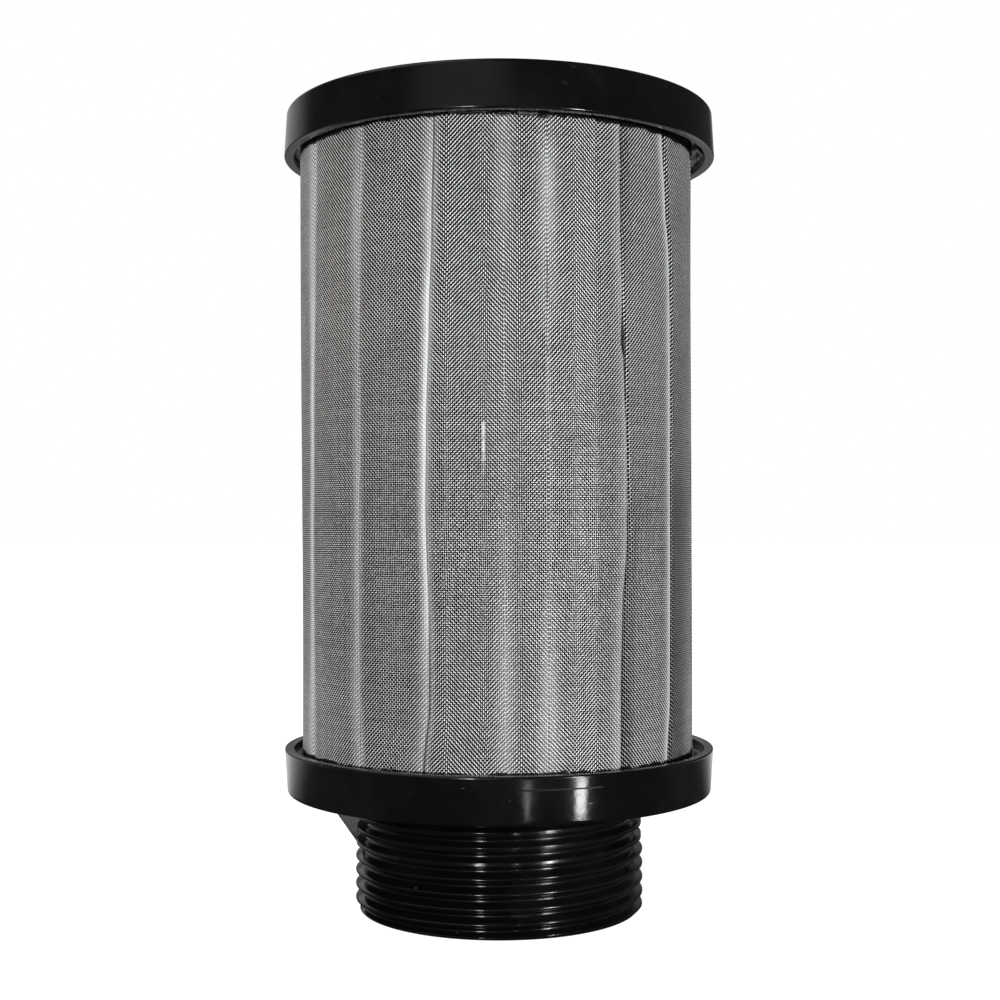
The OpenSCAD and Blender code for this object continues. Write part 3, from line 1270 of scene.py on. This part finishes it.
    def build(self, material: bpy.types.Material) -> bpy.types.Object:
        """Draws the strip up row by row, maps it flat for its weave and gives it its thickness.

        Args:
            material: The wire cloth's finish.

        Returns:
            The piece.
        """
        slits = self.slits()
        heights = [self.foot_z + (self.head_z - self.foot_z) * n / self.rows for n in range(self.rows + 1)]
        bm = bmesh.new()
        # Layers of painted light (highlight above 0, shade below) and of the lean of the painted glint.
        rubbed, sheen = bm.verts.layers.float.new(PAINTED_LIGHT_NAME), bm.verts.layers.float.new(SHEEN)
        line = [bm.verts.new(point) for point, _, _ in self.row(slits, heights[0])]
        edges = [bm.edges.new(pair) for pair in zip(line, line[1:])]
        flat: dict[BMVert, tuple[float, float]] = {}
        for number, height in enumerate(heights):
            if number:
                made = bmesh.ops.extrude_edge_only(bm, edges=edges)["geom"]
                fresh = {v for v in made if isinstance(v, BMVert)}
                line = [next(e.other_vert(v) for e in v.link_edges if e.other_vert(v) in fresh) for v in line]
                edges = [e for e in made if isinstance(e, BMEdge) and all(v in fresh for v in e.verts)]
            for vert, (point, rub, run) in zip(line, self.row(slits, height)):
                vert.co = point
                vert[rubbed], vert[sheen] = rub, self.sheen_at(point)
                flat[vert] = (run, height * MM)
        bm.normal_update()
        front = max(bm.faces, key=lambda f: f.calc_center_median().xy.length)
        if front.normal.xy.dot(front.calc_center_median().xy) < 0.0:
            bmesh.ops.reverse_faces(bm, faces=bm.faces[:])
        layer = bm.loops.layers.uv.new(WEAVE_MAP)
        for face in bm.faces:
            face.smooth = True
            for loop in face.loops:
                loop[layer].uv = flat[loop.vert]
        piece = place(bm, "cloth_pack", material, Slot.CLOTH, "pleated_cloth")
        wall = piece.modifiers.new("cloth thickness", "SOLIDIFY")
        wall.thickness = self.thick * MM
        wall.offset = 0.0
        wall.use_even_offset = True
        return piece


# ---------------------------------------------------------------- resin


@dataclass
class ResinRing:
    """Resin poured into a cap round the cloth's end, in millimetres from the cap's closed end."""

    cap: Cap
    inner_r: float = 22.02
    outer_r: float = 33.9
    foot_r: float = 33.55
    rings: tuple[float, ...] = (26.0, 29.5, 31.4, 31.9, 32.2, 32.5, 32.8, 33.1, 33.4, 33.65)
    depth: float = 5.4
    cloth_r: float = 32.3
    lip_creep: float = 0.55
    cloth_creep: float = 0.45
    creep_reach: float = 0.3
    below_lip: float = 0.02
    steps: int = 256
    sharp: float = 50.0
    spill: Track = (
        (-180.0, 0.0), (-40.0, 0.15), (-16.0, 1.5), (14.0, 1.6), (30.0, 0.3), (74.0, 0.2), (79.0, 1.6), (84.0, 0.2),
        (180.0, 0.0),
    )

    def surface(self, radius: float, bearing: float) -> float:
        """Works out how high the resin stands.

        Args:
            radius: Distance from the axis.
            bearing: Degrees from the front.

        Returns:
            Height above the cap's closed end.
        """
        creep = self.lip_creep * math.exp(-abs(self.outer_r - 0.05 - radius) / self.creep_reach)
        creep += self.cloth_creep * math.exp(-abs(radius - self.cloth_r) / self.creep_reach)
        spot = around(radius, bearing, 0.0)
        lumps = 0.35 * noise.noise(spot * 0.35) + 0.2 * noise.noise(spot * 1.1)
        over = along(self.spill, bearing) if self.cap.end is End.TOP else 0.0
        over *= 0.8 + 0.5 * noise.noise(spot * 0.7 + Vector((9.0, 0.0, 0.0)))
        return min(self.depth + creep + lumps + over, self.cap.height - self.below_lip)

    def build(self, material: bpy.types.Material) -> bpy.types.Object:
        """Spins the ring and lets its surface stand unevenly.

        Args:
            material: The resin's finish.

        Returns:
            The piece.
        """
        bm = bmesh.new()
        floor, top = self.cap.level(self.cap.floor), self.cap.level(self.depth)
        surface = [(r, top) for r in (self.inner_r, *self.rings, self.outer_r)]
        corners = [(self.inner_r, floor), *surface, (self.foot_r, floor)]
        chain = [bm.verts.new((r * MM, 0.0, z * MM)) for r, z in corners]
        for pair in zip(chain, chain[1:] + chain[:1]):
            bm.edges.new(pair)
        spin_round(bm, self.steps)
        for vert in bm.verts:
            if abs(vert.co.z - top * MM) < SAME_SPOT / 2:
                radius = math.hypot(vert.co.x, vert.co.y) / MM
                vert.co.z = self.cap.level(self.surface(radius, bearing_of(vert.co))) * MM
        sharpen(bm, self.sharp)
        end = self.cap.end.value
        return place(bm, f"{end}_resin", material, Slot.RESIN, f"{end}_potting")


@dataclass
class Flecks:
    """Dried drips of resin left on the lips and the cloth: bearing, radius, height, half width and half height."""

    spots: tuple[tuple[float, float, float, float, float], ...] = (
        (-45.5, 33.2, 123.5, 0.45, 0.22),
        (-28.5, 33.0, 123.6, 0.5, 0.2),
        (-11.0, 32.9, 123.9, 1.3, 0.3),
        (-6.0, 33.3, 123.6, 1.6, 0.25),
        (1.0, 33.1, 123.5, 1.1, 0.3),
        (7.5, 33.2, 123.5, 1.9, 0.28),
        (12.0, 32.8, 123.3, 0.8, 0.35),
        (-8.6, 35.25, 25.3, 0.45, 0.14),
        (78.5, 33.0, 123.5, 1.3, 0.6),
        (17.5, 32.6, 27.0, 0.5, 0.35),
        (-30.0, 32.8, 26.9, 0.6, 0.25),
        (150.0, 33.1, 123.5, 1.2, 0.3),
        (-130.0, 33.0, 123.5, 0.9, 0.3),
        (120.0, 32.9, 27.0, 1.0, 0.3),
    )
    half_depth: float = 0.32
    uneven: float = 0.25
    sharp: float = 60.0

    def build(self, material: bpy.types.Material) -> bpy.types.Object:
        """Sets a small uneven blob at each spot.

        Args:
            material: The dried resin's finish.

        Returns:
            The piece.
        """
        bm = bmesh.new()
        for bearing, radius, height, wide, tall in self.spots:
            ball = bmesh.ops.create_icosphere(bm, subdivisions=2, radius=1.0)["verts"]
            for vert in ball:
                vert.co *= 1.0 + self.uneven * noise.noise(vert.co * 1.7 + Vector((bearing, height, radius)))
            bmesh.ops.scale(bm, verts=ball, vec=Vector((wide, self.half_depth, tall)) * MM)
            turn = Matrix.Rotation(math.radians(bearing), 3, "Z")
            bmesh.ops.rotate(bm, verts=ball, cent=CENTRE, matrix=turn)
            bmesh.ops.translate(bm, verts=ball, vec=around(radius, bearing, height) * MM)
        sharpen(bm, self.sharp)
        return place(bm, "resin_flecks", material, Slot.RESIN)


# ---------------------------------------------------------------- studio


@dataclass(frozen=True)
class Lamp:
    """A soft lamp: where it hangs, its size and the place that it is aimed at, in millimetres, and its watts."""

    name: str
    bearing: float
    height: float
    away: float
    wide: float
    tall: float
    watts: float
    aim: float = 65.0
    spread: float = 180.0
    mirrored: bool = True
    aim_x: float = 0.0

    def build(self) -> None:
        """Hangs the lamp."""
        light = bpy.data.lights.new(self.name, "AREA")
        light.shape = "RECTANGLE"
        light.size, light.size_y = self.wide * MM, self.tall * MM
        light.energy = self.watts
        light.spread = math.radians(self.spread)
        lamp = bpy.data.objects.new(self.name, light)
        lamp.location = around(self.away, self.bearing, self.height) * MM
        look = Vector((self.aim_x, 0.0, self.aim)) * MM - lamp.location
        lamp.rotation_euler = look.to_track_quat("-Z", "Y").to_euler()
        lamp.visible_camera = False
        lamp.visible_glossy = self.mirrored
        bpy.context.scene.collection.objects.link(lamp)


@dataclass
class Studio:
    """Pale floor, plain soft light and the camera."""

    lens: float = 56.06
    sensor: float = 36.0
    away: float = 260.43
    camera_z: float = 63.2
    aside: float = 0.13
    dip: float = 0.5
    rise: float = 0.0405
    floor_r: float = 6.0
    floor_dark: Triple = (0.06, 0.06, 0.06)
    floor_pale: Triple = (0.8, 0.8, 0.8)
    floor_glow: float = 1.56
    least_glow: float = 0.06
    lamps: tuple[Lamp, ...] = (
        Lamp("key", 34.6, 6.5, 93.0, 7.0, 8.0, 0.0011, 8.0, 60.0),
        Lamp("low_right", 11.6, 6.5, 95.0, 1.2, 6.0, 0.0001, 8.0, 60.0),
        Lamp("low_left", -38.0, 4.0, 66.0, 8.0, 7.0, 0.000034, 12.0, 50.0, aim_x=-26.0),
        Lamp("glint_right", 38.9, 70.0, 480.0, 45.0, 110.0, 1.0),
        Lamp("glint_left", -15.3, 70.0, 480.0, 28.0, 110.0, 0.62),
        Lamp("front_right", 50.0, 105.0, 480.0, 220.0, 120.0, 0.95, mirrored=False),
        Lamp("front_left", -40.0, 105.0, 480.0, 220.0, 120.0, 0.85, mirrored=False),
        Lamp("side_right", 78.0, 80.0, 550.0, 260.0, 110.0, 0.44, mirrored=False),
        Lamp("back_left", -116.0, 66.0, 550.0, 200.0, 260.0, 2.9, mirrored=False),
        Lamp("back_right", 152.0, 90.0, 550.0, 200.0, 260.0, 2.4, mirrored=False),
    )

    def floor(self) -> None:
        """Lays the floor: white to the camera, with the part's shadow on it."""
        bm = bmesh.new()
        bmesh.ops.create_circle(bm, cap_ends=True, segments=96, radius=self.floor_r)
        mesh = bpy.data.meshes.new("floor")
        bm.to_mesh(mesh)
        bm.free()
        floor = bpy.data.objects.new("floor", mesh)
        bpy.context.scene.collection.objects.link(floor)
        material = bpy.data.materials.new("pale_floor")
        material.use_nodes = True
        material.node_tree.nodes.clear()
        w = Wiring(material.node_tree)
        rays = w.node("LightPath").outputs
        where = w.node("TexCoord").outputs["Object"]
        near = w.span(w.vector("LENGTH", where), 0.05, 0.16, 0.6, 0.66)
        behind = w.vector("DOT_PRODUCT", where, (-0.16, 1.0, 0.0))
        mirrored = w.most(rays["Is Glossy Ray"], rays["Is Transmission Ray"])
        shine = w.times(mirrored, w.span(behind, 0.045, 0.15, 0.0, 0.64), w.span(behind, 0.2, 0.36, 1.0, 0.25))
        share = w.most(w.times(rays["Is Camera Ray"], near), shine)
        plain = w.node("BsdfDiffuse", {"Color": w.blend(rays["Is Camera Ray"], self.floor_dark, self.floor_pale)})
        white = w.node("Emission", {"Strength": self.floor_glow})
        mix = w.node("MixShader", {0: share, 1: plain.outputs[0], 2: white.outputs[0]})
        w.node("OutputMaterial", {"Surface": mix.outputs[0]})
        mesh.materials.append(material)

    def surroundings(self) -> None:
        """Sets the world: white to the camera, else dim with a few soft glows for the mouldings to mirror."""
        world = bpy.data.worlds.new("studio")
        world.use_nodes = True
        bpy.context.scene.world = world
        w = Wiring(world.node_tree)
        ground = world.node_tree.nodes["Background"]
        away = w.node("TexCoord").outputs["Generated"]
        behind = w.span(w.vector("DOT_PRODUCT", away, (-0.31, 0.951, 0.0)), 0.68, 0.93, 0.0, 0.46)
        behind = w.times(behind, w.span(w.split(away)[2], 0.14, 0.24, 0.25, 1.0))
        before = w.span(w.vector("DOT_PRODUCT", away, (-0.315, -0.865, 0.391)), 0.86, 0.985, 0.0, 0.3)
        overhead = w.span(w.vector("DOT_PRODUCT", away, (-0.5, -0.16, 0.85)), 0.83, 0.97, 0.0, 0.9)
        glow = w.plus(w.most(behind, before, overhead), self.least_glow)
        w.feed(w.most(w.node("LightPath").outputs["Is Camera Ray"], glow), ground.inputs["Strength"])
        w.feed((1.0, 1.0, 1.0), ground.inputs["Color"])

    def camera(self) -> None:
        """Sets the camera level with the middle of the part, as the photograph was taken."""
        data = bpy.data.cameras.new("camera")
        data.lens, data.sensor_width = self.lens, self.sensor
        data.shift_y = self.rise
        data.clip_start, data.clip_end = 0.01, 50.0
        camera = bpy.data.objects.new("camera", data)
        camera.location = Vector((self.aside, -self.away, self.camera_z)) * MM
        camera.rotation_euler = (math.radians(90.0 - self.dip), 0.0, 0.0)
        bpy.context.scene.collection.objects.link(camera)
        bpy.context.scene.camera = camera

    def build(self) -> None:
        """Builds the whole studio."""
        bpy.context.scene.view_settings.view_transform = "Standard"
        self.floor()
        self.surroundings()
        self.camera()
        for lamp in self.lamps:
            lamp.build()
        LOG.info("studio: %d lamps", len(self.lamps))


def main() -> None:
    """Builds the muffler and the studio round it."""
    logging.basicConfig(level=logging.INFO, format="%(name)s %(message)s")
    groups = Groups()
    moulding = BlackMoulding("black_moulding").make(groups)
    resin = PottingResin("potting_resin").make(groups)
    top, bottom = Cap(End.TOP), Cap(End.BOTTOM)
    top.build(moulding)
    bottom.build(moulding)
    ClothPack().build(WireCloth("wire_cloth").make(groups))
    dress("core_tube", SheetSteel("core_steel").make(groups))
    dress("seam_clip", SheetSteel("clip_steel", gloss=0.26).make(groups))
    ResinRing(top).build(resin)
    ResinRing(bottom).build(resin)
    Flecks().build(PottingResin("dried_resin", share=0.4).make(groups))
    Studio().build()


if __name__ == "__main__":
    main()
